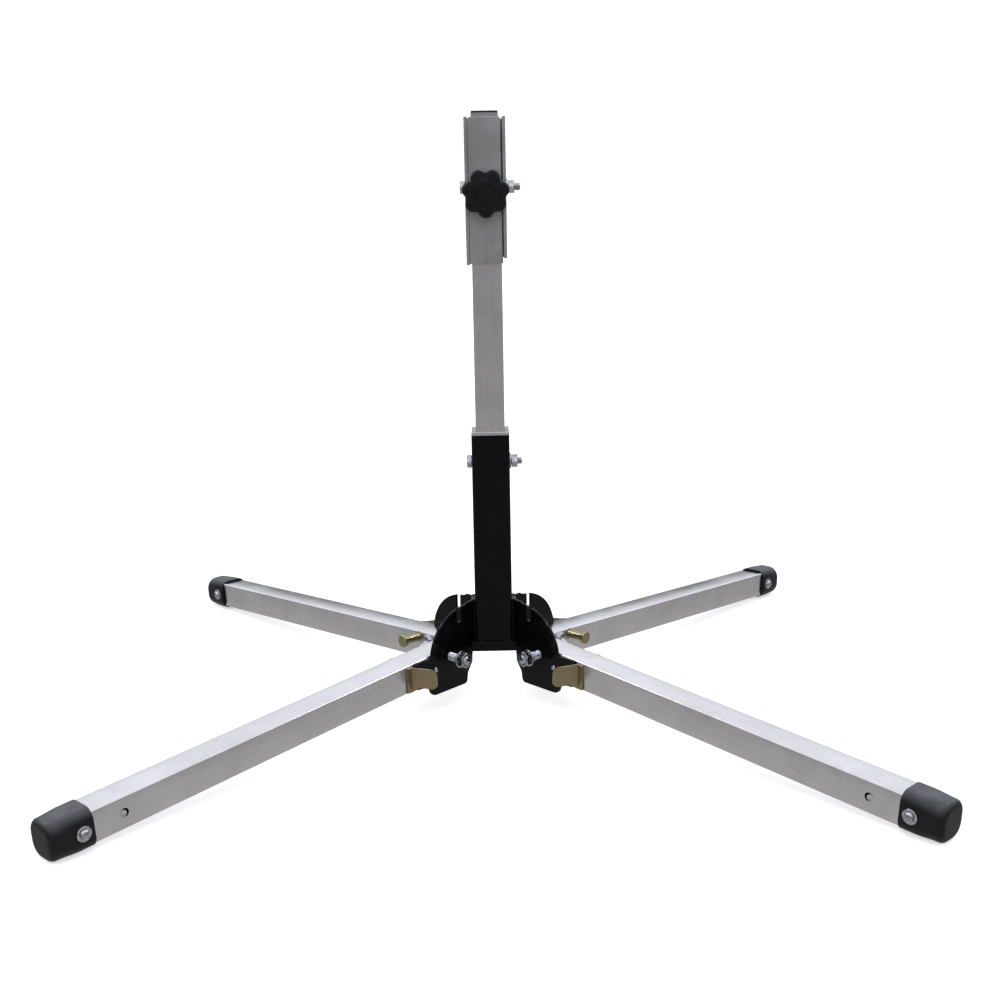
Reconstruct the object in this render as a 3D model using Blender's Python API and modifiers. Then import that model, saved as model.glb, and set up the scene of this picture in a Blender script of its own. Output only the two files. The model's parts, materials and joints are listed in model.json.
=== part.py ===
"""Folding four-leg base of a batting tee, in metres, +Z up.

The origin is on the ground under the centre post. The knob faces -Y, and the bolts' nuts are on +X.
Each leg has its own frame: +X runs out along the leg, +Z is up, and "out" is the side of the leg
that carries the bracket's cheek and the latch tongue.
"""
from math import asin, atan2, cos, pi, radians, sin

import bmesh
import bpy
from mathutils import Matrix, Vector

# Driving dimensions
GAP = 0.0003
TUBE = 0.03175
TUBE_WALL = 0.0015
POST = 0.0415
POST_WALL = 0.0028
TUBE_CORNER = 0.0020
STEM = 0.0282

# Fasteners: M8 across the mast and for the knob, M10 at the leg pivots
M8 = {"bolt": 0.0040, "hex": 0.0075, "head": 0.0053, "nut": 0.0068, "washer": 0.0085, "thick": 0.0015}
M10 = {"bolt": 0.0050, "hex": 0.0090, "head": 0.0064, "nut": 0.0072, "washer": 0.0095, "thick": 0.0016}
M8_HOLE = M8["bolt"] + GAP
M10_HOLE = M10["bolt"] + GAP

# Heights above the ground
LEG_AXIS_HEIGHT = 0.0524
POST_BOTTOM = LEG_AXIS_HEIGHT + 0.006
POST_TOP = LEG_AXIS_HEIGHT + 0.251
MAST_BOTTOM = LEG_AXIS_HEIGHT + 0.040
MAST_TOP = LEG_AXIS_HEIGHT + 0.5837
STEM_BOTTOM = LEG_AXIS_HEIGHT + 0.300
STEM_TOP = LEG_AXIS_HEIGHT + 0.5880
POST_BOLT_HEIGHT = LEG_AXIS_HEIGHT + 0.219
CLAMP_BOLT_HEIGHT = LEG_AXIS_HEIGHT + 0.5133
KNOB_HEIGHT = LEG_AXIS_HEIGHT + 0.5064
LINER_BOTTOM = POST_TOP - 0.018
LINER_TOP = POST_TOP + 0.0035

# Clamp channel round the top of the mast
CHANNEL_WIDTH = 0.0430
CHANNEL_PLATE = 0.0034
CHANNEL_BEND = 0.004
CHANNEL_FRONT = -0.0205
CHANNEL_BACK = 0.0195
CHANNEL_BOTTOM = LEG_AXIS_HEIGHT + 0.4331
FLANGE_STEP = 0.0066
PLATE_LEFT = -0.0178
PLATE_RIGHT = 0.0164
PLATE_FRONT = -0.0192
PLATE_BACK = -0.0162
KNOB_BACK = -0.0215
KNOB_FRONT = -0.0440
KNOB_RADIUS = 0.0250
KNOB_SCALLOP = 0.0038
KNOB_SHARPNESS = 1.6
KNOB_LOBES = 7
KNOB_STEPS = 9 * KNOB_LOBES

# Legs, measured along each leg's own frame
LEG_AZIMUTH = radians(47.0)
LEG_SLOPE = radians(3.9)
LEG_AXIS_OFFSET = 0.0289
LEG_REFERENCE = 0.057
LEG_START = -0.0110
LEG_END = 0.4700
PIVOT = Vector((0.0610, 0.0, LEG_AXIS_HEIGHT + 0.0063))
CHEEK_INNER = TUBE / 2 + GAP
CHEEK_PLATE = 0.003
CHEEK_OUTER = CHEEK_INNER + CHEEK_PLATE
CAP_START = 0.4485
CAP_END = 0.4905
CAP_HALF = 0.0192
CAP_CORNER = 0.0112
CAP_ROUND = 0.0196
CAP_FILLET = 0.0045
FOOT_SCREW_ALONG = 0.4598
FOOT_SCREW_HOLE = 0.0028
SIDE_HOLE_ALONG = 0.4172
SIDE_HOLE_RADIUS = 0.0044

# Quadrant cheek of the hinge bracket: horizontal distance and height above the leg axis
CHEEK_HUB = 0.0210
CHEEK_TOP = 0.0618
CHEEK_SHOULDER = 0.0330
ARC_CENTRE = (0.0375, 0.0055)
ARC_RADIUS = 0.0535
EAR_END = 0.1145
EAR_TOP = 0.0115
EAR_BOTTOM = -0.0190
CHEEK_BOTTOM = -0.0325
SLOT_CENTRE = 0.0463
SLOT_WIDTH = 0.0072
SLOT_BOTTOM = 0.0415
WEB_PLATE = 0.004
WEB_HALF = 0.0098
STRAP_HALF = 0.0254
STRAP_PLATE = 0.003
STRAP_HEIGHT = 0.011
RIVET_PLACE = (0.0845, -0.0036)
RIVET_RADIUS = 0.0022
RIVET_DOME = 0.0030
PIVOT_STAND_OFF = 0.0157

# Latch: a bent tongue on the outer side and a headed pin through the leg
LATCH_BEND = 0.1185
LATCH_FOOT = 0.0075
LATCH_PLATE = 0.0018
LATCH_FLARE = radians(68.0)
TONGUE_LENGTH = 0.0305
TONGUE_TOP = 0.0085
TONGUE_BOTTOM = -0.0135
LATCH_FOOT_BOTTOM = -0.0195
FRONT_PIN = (0.0960, -0.0080)
REAR_PIN = (0.0785, 0.0085)
PIN_RADIUS = 0.0030

LEGS = {
    "front_left": (-1, -1),
    "front_right": (1, -1),
    "rear_left": (-1, 1),
    "rear_right": (1, 1),
}

for old in list(bpy.data.objects):
    bpy.data.objects.remove(old, do_unlink=True)

parts = bpy.data.collections.new("batting_tee")
cutters = bpy.data.collections.new("cutters")
bpy.context.scene.collection.children.link(parts)
bpy.context.scene.collection.children.link(cutters)


def material(name, colour, roughness, metallic):
    """Make a Principled material."""
    made = bpy.data.materials.new(name)
    made.use_nodes = True
    shader = made.node_tree.nodes["Principled BSDF"]
    shader.inputs["Base Color"].default_value = (*colour, 1.0)
    shader.inputs["Roughness"].default_value = roughness
    shader.inputs["Metallic"].default_value = metallic
    return made


ZINC_TUBE = material("zinc_tube", (0.62, 0.62, 0.63), 0.38, 1.0)
ZINC_PLATE = material("zinc_plate", (0.46, 0.46, 0.45), 0.42, 1.0)
BLACK_COAT = material("black_coat", (0.012, 0.012, 0.014), 0.35, 0.0)
BRIGHT_ZINC = material("bright_zinc", (0.72, 0.74, 0.78), 0.22, 1.0)
YELLOW_ZINC = material("yellow_zinc", (0.66, 0.52, 0.28), 0.30, 1.0)
RUBBER = material("rubber", (0.018, 0.018, 0.021), 0.75, 0.0)
KNOB_PLASTIC = material("knob_plastic", (0.014, 0.014, 0.015), 0.50, 0.0)
PLUG_PLASTIC = material("plug_plastic", (0.020, 0.020, 0.022), 0.55, 0.0)


# Outlines

def arc(centre, radius, start, end, steps):
    """Points on a circle from the angle start to the angle end."""
    angles = [start + (end - start) * step / steps for step in range(steps + 1)]
    return [(centre[0] + radius * cos(a), centre[1] + radius * sin(a)) for a in angles]


def rounded_box(x0, x1, y0, y1, radius, steps=4):
    """A rectangle with round corners, anticlockwise."""
    corners = ((x1, y0, -pi / 2), (x1, y1, 0.0), (x0, y1, pi / 2), (x0, y0, pi))
    points = []
    for x, y, start in corners:
        centre = (x - radius if x == x1 else x + radius, y - radius if y == y1 else y + radius)
        points += arc(centre, radius, start, start + pi / 2, steps)
    return points


def square(width, radius, steps=4):
    """A centred square with round corners."""
    return rounded_box(-width / 2, width / 2, -width / 2, width / 2, radius, steps)


def circle(radius, steps=16, centre=(0.0, 0.0)):
    """A full circle."""
    return arc(centre, radius, 0.0, 2 * pi, steps)[:-1]


# Making objects

def add_object(name, mesh, matrix, look=None):
    """Link a mesh as a part, or as a cutter when it has no material."""
    made = bpy.data.objects.new(name, mesh)
    made.matrix_world = matrix
    if look:
        mesh.materials.clear()
        mesh.materials.append(look)
        parts.objects.link(made)
    else:
        made.hide_render = True
        made.display_type = "WIRE"
        cutters.objects.link(made)
    return made


def joint_axis(name, frame):
    """An empty on a joint's axis, which carries the pieces that the joint moves."""
    empty = bpy.data.objects.new(name, None)
    empty.matrix_world = frame
    parts.objects.link(empty)
    return empty


def carry(empty, made):
    """Parent an object to a joint's empty, leaving its shape where it is."""
    made.parent = empty
    made.matrix_parent_inverse = empty.matrix_world.inverted()


def extruded(name, loops, depth, place, look=None):
    """A flat outline with holes, extruded along its own +Z from zero to depth."""
    curve = bpy.data.curves.new(name + "_outline", "CURVE")
    curve.dimensions = "2D"
    curve.fill_mode = "BOTH"
    curve.extrude = depth / 2
    for loop in loops:
        spline = curve.splines.new("POLY")
        spline.points.add(len(loop) - 1)
        for point, (x, y) in zip(spline.points, loop):
            point.co = (x, y, 0.0, 1.0)
        spline.use_cyclic_u = True
    outline = bpy.data.objects.new(name + "_outline", curve)
    outline.matrix_world = place @ Matrix.Translation((0.0, 0.0, depth / 2))
    bpy.context.scene.collection.objects.link(outline)
    bpy.context.view_layer.update()
    evaluated = outline.evaluated_get(bpy.context.evaluated_depsgraph_get())
    mesh = bpy.data.meshes.new_from_object(evaluated)
    shape = bmesh.new()
    shape.from_mesh(mesh)
    bmesh.ops.remove_doubles(shape, verts=shape.verts, dist=0.00001)
    bmesh.ops.recalc_face_normals(shape, faces=shape.faces)
    shape.to_mesh(mesh)
    shape.free()
    made = add_object(name, mesh, outline.matrix_world.copy(), look)
    bpy.data.objects.remove(outline, do_unlink=True)
    return made


def box(name, low, high, place, look=None):
    """A box between two corners of its own frame."""
    mesh = bpy.data.meshes.new(name)
    shape = bmesh.new()
    bmesh.ops.create_cube(shape, size=1.0)
    low, high = Vector(low), Vector(high)
    bmesh.ops.scale(shape, vec=high - low, verts=shape.verts)
    bmesh.ops.translate(shape, vec=(low + high) / 2, verts=shape.verts)
    shape.to_mesh(mesh)
    shape.free()
    return add_object(name, mesh, place, look)


def rod(name, radius, start, end, place, look=None, segments=16):
    """A cylinder, or a prism with few segments, along its own Z between two heights."""
    mesh = bpy.data.meshes.new(name)
    shape = bmesh.new()
    bmesh.ops.create_cone(shape, cap_ends=True, segments=segments, radius1=radius, radius2=radius,
                          depth=end - start)
    bmesh.ops.translate(shape, vec=(0.0, 0.0, (start + end) / 2), verts=shape.verts)
    shape.to_mesh(mesh)
    shape.free()
    return add_object(name, mesh, place, look)


def turned(name, profile, place, look=None, steps=16):
    """A solid of revolution about its own Z, from a profile of (radius, height), top to bottom."""
    mesh = bpy.data.meshes.new(name)
    shape = bmesh.new()
    verts = [shape.verts.new((radius, 0.0, height)) for radius, height in profile]
    for first, second in zip(verts, verts[1:]):
        shape.edges.new((first, second))
    shape.to_mesh(mesh)
    shape.free()
    made = add_object(name, mesh, place, look)
    screw = made.modifiers.new("Screw", "SCREW")
    screw.axis = "Z"
    screw.steps = steps
    screw.render_steps = steps
    screw.use_merge_vertices = True
    screw.merge_threshold = 0.00001
    return made


def boolean(made, tool, operation="DIFFERENCE"):
    """Cut an object by a cutter, or join the cutter to it."""
    change = made.modifiers.new(operation.title(), "BOOLEAN")
    change.operation = operation
    change.object = tool
    change.solver = "EXACT"


def bevel(made, width, segments=2, angle=40.0):
    """Round the edges sharper than an angle."""
    change = made.modifiers.new("Bevel", "BEVEL")
    change.width = width
    change.segments = segments
    change.limit_method = "ANGLE"
    change.angle_limit = radians(angle)


def drill(made, name, radius, start, end, place):
    """Drill a round hole."""
    boolean(made, rod(name + "_drill", radius, start, end, place))


# Frames

ALONG_X = Matrix.Rotation(pi / 2, 4, "Y")
ALONG_FRONT = Matrix.Rotation(pi / 2, 4, "X")
UPRIGHT = Matrix.Identity(4)


def at(x, y, z):
    """A frame moved to a point."""
    return Matrix.Translation((x, y, z))


def leg_direction(kx, ky):
    """The level direction that a leg points in."""
    return Vector((kx * cos(LEG_AZIMUTH), ky * sin(LEG_AZIMUTH), 0.0))


def outward_normal(kx, ky):
    """The level direction that a leg's outer side faces."""
    return Vector((-kx * sin(LEG_AZIMUTH), ky * cos(LEG_AZIMUTH), 0.0))


def leg_frame(kx, ky):
    """Leg frame on the ground: +X along the leg, +Z up."""
    direction = leg_direction(kx, ky)
    foot = -LEG_AXIS_OFFSET * outward_normal(kx, ky)
    return Matrix.Translation(foot) @ Matrix.Rotation(atan2(direction.y, direction.x), 4, "Z")


def hand(kx, ky):
    """+1 where the leg frame's +Y is the outer side, -1 where it is the inner side."""
    return 1 if kx * ky > 0 else -1


def front_hand(kx, ky):
    """+1 where the leg frame's +Y is the side of the leg that faces the front, or else -1."""
    return -ky * hand(kx, ky)


def tube_frame(kx, ky):
    """Sloping frame on the leg tube's axis."""
    start = at(LEG_REFERENCE, 0.0, LEG_AXIS_HEIGHT)
    return leg_frame(kx, ky) @ start @ Matrix.Rotation(LEG_SLOPE, 4, "Y")


def outer_axis(side):
    """A frame whose +Z points to the outer side of the leg."""
    return Matrix.Rotation(-side * pi / 2, 4, "X")


def upright_plane(side):
    """A frame for an outline drawn along the leg and up, extruded to the outer side."""
    turn = Matrix.Rotation(pi / 2, 4, "X")
    flip = Matrix.Rotation(pi, 4, "Y") if side > 0 else UPRIGHT
    return turn @ flip


def side_outline(points, side):
    """Outline points for upright_plane, mirrored where that frame is turned round."""
    return [(-side * x if side > 0 else x, z) for x, z in points]


# Fasteners

def hex_bolt(name, size, start, end, place):
    """A hex bolt: its head lies below start, and its shank runs from start to end."""
    made = rod(name, size["bolt"], start - size["head"] / 2, end, place, BRIGHT_ZINC)
    head = rod(name + "_head", size["hex"], start - size["head"], start, place, segments=6)
    boolean(made, head, "UNION")
    return made


def ring(name, outline, hole, start, thickness, place):
    """A washer or a nut: an outline with a bolt hole."""
    loops = [outline, circle(hole)]
    return extruded(name, loops, thickness, place @ at(0.0, 0.0, start), BRIGHT_ZINC)


def washer_and_nut(prefix, size, seat, place):
    """A flat washer on a seat, with a hex nut on it."""
    hole = size["bolt"] + GAP
    ring(prefix + "_washer", circle(size["washer"]), hole, seat, size["thick"], place)
    ring(prefix + "_nut", circle(size["hex"], 6), hole, seat + size["thick"] + GAP, size["nut"], place)


def cross_bolt(prefix, half_width, end, height):
    """A bolt across the mast with a washer and a nut on its +X end."""
    place = at(0.0, 0.0, height) @ ALONG_X
    seat = half_width + GAP
    hex_bolt(prefix + "_bolt", M8, -seat, end, place)
    washer_and_nut(prefix, M8, seat, place)


# Centre column

def upright_tube(name, width, corner, bore, bore_corner, bottom, top, look):
    """A square tube on the centre axis between two heights."""
    loops = [square(width, corner), square(bore, bore_corner)]
    return extruded(name, loops, top - bottom, at(0.0, 0.0, bottom), look)


def centre_column():
    """Post with its liner, mast, and the sliding stem with its end plug."""
    bore = POST - 2 * POST_WALL
    post = upright_tube("centre_post", POST, 0.0035, bore, 0.0012, POST_BOTTOM, POST_TOP, BLACK_COAT)
    across = at(0.0, 0.0, POST_BOLT_HEIGHT) @ ALONG_X
    drill(post, "post_bolt_post", M8_HOLE, -POST, POST, across)
    lined = TUBE + 2 * GAP
    upright_tube("post_liner", bore - 2 * GAP, 0.0009, lined, TUBE_CORNER, LINER_BOTTOM, LINER_TOP, ZINC_TUBE)

    inside = TUBE - 2 * TUBE_WALL
    mast = upright_tube("mast_tube", TUBE, TUBE_CORNER, inside, 0.0008, MAST_BOTTOM, MAST_TOP, ZINC_TUBE)
    drill(mast, "post_bolt_mast", M8_HOLE, -TUBE, TUBE, across)
    clamp_across = at(0.0, 0.0, CLAMP_BOLT_HEIGHT) @ ALONG_X
    drill(mast, "clamp_bolt_mast", M8_HOLE, -TUBE, TUBE, clamp_across)
    stud_axis = at(0.0, 0.0, KNOB_HEIGHT) @ ALONG_FRONT
    drill(mast, "stud_mast", M8_HOLE, STEM / 2 - GAP, TUBE, stud_axis)

    inside = STEM - 2 * TUBE_WALL
    stem = upright_tube("stem_tube", STEM, TUBE_CORNER, inside, 0.0006, STEM_BOTTOM, STEM_TOP, ZINC_TUBE)
    slot_low = (-STEM, -M8_HOLE, STEM_BOTTOM + 0.014)
    slot_high = (STEM, M8_HOLE, CLAMP_BOLT_HEIGHT + M8_HOLE)
    boolean(stem, box("stem_slot", slot_low, slot_high, UPRIGHT))

    plug_place = at(0.0, 0.0, STEM_TOP + GAP)
    plug = extruded("stem_plug", [square(STEM, TUBE_CORNER)], 0.0018, plug_place, PLUG_PLASTIC)
    spigot_loops = [square(inside - 2 * GAP, 0.0010)]
    spigot = extruded("plug_spigot", spigot_loops, 0.0130, plug_place @ at(0.0, 0.0, -0.0126))
    boolean(plug, spigot, "UNION")


def clamp_channel():
    """Channel open to the front, with its +X flange a little shorter at the bottom."""
    half = CHANNEL_WIDTH / 2
    inner = half - CHANNEL_PLATE
    turn = arc((-half + CHANNEL_BEND, CHANNEL_BACK - CHANNEL_BEND), CHANNEL_BEND, pi, pi / 2, 4)
    outer_turn = [(-x, y) for x, y in reversed(turn)]
    outline = [(-inner, CHANNEL_FRONT), (-half, CHANNEL_FRONT)] + turn + outer_turn
    outline += [(half, CHANNEL_FRONT), (inner, CHANNEL_FRONT)]
    outline += [(inner, CHANNEL_BACK - CHANNEL_PLATE), (-inner, CHANNEL_BACK - CHANNEL_PLATE)]
    place = at(0.0, 0.0, CHANNEL_BOTTOM)
    channel = extruded("clamp_channel", [outline], MAST_TOP - CHANNEL_BOTTOM, place, ZINC_PLATE)
    step_low = (inner - 0.0005, CHANNEL_FRONT - 0.01, CHANNEL_BOTTOM - 0.01)
    step_high = (half + 0.01, CHANNEL_BACK + 0.01, CHANNEL_BOTTOM + FLANGE_STEP)
    boolean(channel, box("flange_step", step_low, step_high, UPRIGHT))
    across = at(0.0, 0.0, CLAMP_BOLT_HEIGHT) @ ALONG_X
    drill(channel, "clamp_bolt_channel", M8_HOLE, -CHANNEL_WIDTH, CHANNEL_WIDTH, across)


def clamp_plate():
    """Pressure plate between the channel's flanges, drilled for the knob's stud."""
    outline = rounded_box(PLATE_LEFT, PLATE_RIGHT, CHANNEL_BOTTOM + 0.0006, MAST_TOP, 0.0030)
    place = at(0.0, PLATE_BACK, 0.0) @ ALONG_FRONT
    plate_loops = [outline, circle(M8_HOLE, centre=(0.0, KNOB_HEIGHT))]
    extruded("clamp_plate", plate_loops, PLATE_BACK - PLATE_FRONT, place, ZINC_PLATE)


def knob():
    """Seven-lobed knob with a hub, and the stud that presses on the stem."""
    axis = at(0.0, 0.0, KNOB_HEIGHT) @ ALONG_FRONT
    lobe_points = []
    for step in range(KNOB_STEPS):
        angle = 2 * pi * step / KNOB_STEPS - pi / 2
        depth = (1 - cos(KNOB_LOBES * (angle + pi / 2))) / 2
        reach = KNOB_RADIUS - KNOB_SCALLOP * depth ** KNOB_SHARPNESS
        lobe_points.append((reach * cos(angle), reach * sin(angle)))
    back = -KNOB_BACK + 0.0065
    made = extruded("knob", [lobe_points], -KNOB_FRONT - back, axis @ at(0.0, 0.0, back), KNOB_PLASTIC)
    bevel(made, 0.0022, 1)
    hub = rod("knob_hub", 0.0125, -KNOB_BACK, back + 0.003, axis)
    boolean(made, hub, "UNION")
    drill(made, "knob_bore", M8_HOLE, 0.0, -KNOB_FRONT - 0.005, axis)
    stud_start = STEM / 2 + GAP
    rod("clamp_stud", M8["bolt"], stud_start, -KNOB_FRONT - 0.0055, axis, BRIGHT_ZINC)


# Hinge brackets

def rim_height(x):
    """Height of the cheek's round rim at a distance along the leg."""
    return ARC_CENTRE[1] + (ARC_RADIUS ** 2 - (x - ARC_CENTRE[0]) ** 2) ** 0.5


def cheek_outline():
    """Quadrant with a lock slot in its rim, a sloping hub edge below and an ear along the leg."""
    ear_angle = asin((EAR_TOP - ARC_CENTRE[1]) / ARC_RADIUS)
    rim = arc(ARC_CENTRE, ARC_RADIUS, pi / 2, ear_angle, 18)
    slot_left, slot_right = SLOT_CENTRE - SLOT_WIDTH / 2, SLOT_CENTRE + SLOT_WIDTH / 2
    slot_floor = arc((SLOT_CENTRE, SLOT_BOTTOM + SLOT_WIDTH / 2), SLOT_WIDTH / 2, pi, 2 * pi, 8)
    points = [(CHEEK_HUB, CHEEK_TOP), (CHEEK_SHOULDER, CHEEK_TOP)]
    points += [p for p in rim if p[0] < slot_left - 0.0005]
    points += [(slot_left, rim_height(slot_left))] + slot_floor + [(slot_right, rim_height(slot_right))]
    points += [p for p in rim if p[0] > slot_right + 0.0005]
    points += [(EAR_END - 0.002, EAR_TOP), (EAR_END, EAR_TOP - 0.002)]
    points += [(EAR_END, EAR_BOTTOM + 0.002), (EAR_END - 0.002, EAR_BOTTOM), (0.0945, EAR_BOTTOM - 0.001)]
    points += arc((0.0850, CHEEK_BOTTOM + 0.0085), 0.0085, -0.1, -pi / 2, 5)
    points += arc((0.0395, CHEEK_BOTTOM + 0.0045), 0.0045, -pi / 2, -pi + 0.15, 4)
    points += [(0.0337, -0.0200), (0.0262, -0.0095), (0.0257, 0.0060), (CHEEK_HUB, 0.0060)]
    return points


def bracket_wing(name, kx, ky, pin_place, look=None):
    """One cheek, with its pivot hole, rivet hole and lock hole."""
    side = hand(kx, ky)
    holes = [
        circle(M10_HOLE, centre=(PIVOT.x, PIVOT.z - LEG_AXIS_HEIGHT)),
        circle(RIVET_RADIUS + GAP, 12, centre=RIVET_PLACE),
        circle(PIN_RADIUS + GAP, 16, centre=pin_place),
    ]
    loops = [side_outline(loop, side) for loop in [cheek_outline()] + holes]
    lift = at(0.0, side * CHEEK_INNER, LEG_AXIS_HEIGHT)
    place = leg_frame(kx, ky) @ lift @ upright_plane(side)
    return extruded(name, loops, CHEEK_PLATE, place, look)


def hinge_bracket(name, kx):
    """Bracket on one side of the post: a web with a cheek for the front leg and one for the rear."""
    near, far = POST / 2 + GAP, POST / 2 + GAP + WEB_PLATE
    web_low = (min(kx * near, kx * far), -WEB_HALF, LEG_AXIS_HEIGHT + 0.0065)
    web_high = (max(kx * near, kx * far), WEB_HALF, LEG_AXIS_HEIGHT + CHEEK_TOP - 0.0005)
    web = box(name, web_low, web_high, UPRIGHT, BLACK_COAT)
    boolean(web, bracket_wing(name + "_front_wing", kx, -1, FRONT_PIN), "UNION")
    boolean(web, bracket_wing(name + "_rear_wing", kx, 1, REAR_PIN), "UNION")


def strap(name, ky):
    """A strap across the foot of the post, which ties the two brackets together."""
    near, far = POST / 2 + GAP, POST / 2 + GAP + STRAP_PLATE
    low = (-STRAP_HALF, min(ky * near, ky * far), POST_BOTTOM)
    high = (STRAP_HALF, max(ky * near, ky * far), POST_BOTTOM + STRAP_HEIGHT)
    box(name, low, high, UPRIGHT, BLACK_COAT)


# Legs

def pivot_set(prefix, kx, ky):
    """Pivot bolt with a washer and nut standing off the cheek, and the cheek's stop rivet."""
    side = hand(kx, ky)
    axis = leg_frame(kx, ky) @ Matrix.Translation(PIVOT) @ outer_axis(side)
    seat = CHEEK_OUTER + PIVOT_STAND_OFF
    bolt_end = seat + M10["thick"] + GAP + M10["nut"] + 0.0012
    hex_bolt(prefix + "_pivot_bolt", M10, -(TUBE / 2 + GAP), bolt_end, axis)
    washer_and_nut(prefix + "_pivot", M10, seat, axis)
    x, z = RIVET_PLACE
    rivet_axis = leg_frame(kx, ky) @ at(x, 0.0, LEG_AXIS_HEIGHT + z) @ outer_axis(side)
    face = CHEEK_OUTER + GAP
    dome = [(radius, face + rise * 0.5) for radius, rise in arc((0.0, 0.0), RIVET_DOME, pi / 2, 0.0, 5)]
    dome[0] = (0.0, dome[0][1])
    profile = dome + [(RIVET_RADIUS, face), (RIVET_RADIUS, CHEEK_INNER), (0.0, CHEEK_INNER)]
    turned(prefix + "_stop_rivet", profile, rivet_axis, BRIGHT_ZINC, 12)


def leg_tube(prefix, kx, ky, fold_axis, pin_place):
    """Square leg tube with its pivot, pin, screw and side holes."""
    side = hand(kx, ky)
    axis = tube_frame(kx, ky)
    loops = [square(TUBE, TUBE_CORNER), square(TUBE - 2 * TUBE_WALL, 0.0008)]
    place = axis @ at(LEG_START, 0.0, 0.0) @ ALONG_X
    tube = extruded(prefix + "_leg_tube", loops, LEG_END - LEG_START, place, ZINC_TUBE)
    pivot_axis = leg_frame(kx, ky) @ Matrix.Translation(PIVOT) @ outer_axis(side)
    drill(tube, prefix + "_pivot", M10_HOLE, -TUBE, TUBE, pivot_axis)
    pin_axis = leg_frame(kx, ky) @ at(pin_place[0], 0.0, LEG_AXIS_HEIGHT + pin_place[1]) @ outer_axis(side)
    drill(tube, prefix + "_pin", PIN_RADIUS + 2 * GAP, -TUBE, TUBE, pin_axis)
    screw_axis = axis @ at(FOOT_SCREW_ALONG, 0.0, 0.0) @ outer_axis(front_hand(kx, ky))
    drill(tube, prefix + "_foot_screw", FOOT_SCREW_HOLE, 0.010, TUBE, screw_axis)
    hole_axis = axis @ at(SIDE_HOLE_ALONG, 0.0, 0.0) @ outer_axis(side)
    drill(tube, prefix + "_side_hole", SIDE_HOLE_RADIUS, 0.010, TUBE, hole_axis)
    carry(fold_axis, tube)


def foot(prefix, kx, ky, fold_axis):
    """Rubber cap, square at its mouth and round at its end, with its screw and washer in front."""
    axis = tube_frame(kx, ky)
    place = axis @ at(CAP_START - 0.012, 0.0, 0.0) @ ALONG_X
    outline = square(2 * CAP_HALF, CAP_CORNER, 5)
    cap = extruded(prefix + "_foot_cap", [outline], CAP_END - CAP_START + 0.012, place, RUBBER)
    edge = CAP_END - CAP_FILLET
    rounding = [(0.0, CAP_END)] + arc((CAP_ROUND - CAP_FILLET, edge), CAP_FILLET, pi / 2, 0.0, 4)
    clear = CAP_START - 0.02
    rounding += [(CAP_ROUND, edge - 0.003), (0.024, LEG_END), (0.024, clear), (0.0, clear)]
    boolean(cap, turned(prefix + "_cap_round", rounding, axis @ ALONG_X, steps=24), "INTERSECT")
    hollow = square(TUBE + 2 * GAP, TUBE_CORNER + GAP)
    hollow_place = axis @ at(CAP_START - 0.020, 0.0, 0.0) @ ALONG_X
    boolean(cap, extruded(prefix + "_cap_hollow", [hollow], LEG_END + GAP - CAP_START + 0.020, hollow_place))
    trim = 3 * CAP_HALF
    boolean(cap, box(prefix + "_cap_trim", (CAP_START - 0.03, -trim, -trim), (CAP_START, trim, trim), axis))
    screw_axis = axis @ at(FOOT_SCREW_ALONG, 0.0, 0.0) @ outer_axis(front_hand(kx, ky))
    drill(cap, prefix + "_cap_screw", FOOT_SCREW_HOLE, 0.012, 0.024, screw_axis)
    carry(fold_axis, cap)

    seat = CAP_HALF + GAP
    outline = circle(0.0072)
    foot_washer = ring(prefix + "_foot_washer", outline, FOOT_SCREW_HOLE, seat, 0.0012, screw_axis)
    carry(fold_axis, foot_washer)

    head = seat + 0.0012 + GAP
    profile = [(0.0, head + 0.0012), (0.0016, head + 0.0012), (0.0016, head + 0.0028)]
    profile += [(0.0030, head + 0.0026), (0.0042, head + 0.0016), (0.0047, head)]
    profile += [(0.0025, head), (0.0025, 0.0085), (0.0, 0.0085)]
    screw = turned(prefix + "_foot_screw", profile, screw_axis, BRIGHT_ZINC)
    carry(fold_axis, screw)


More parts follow.
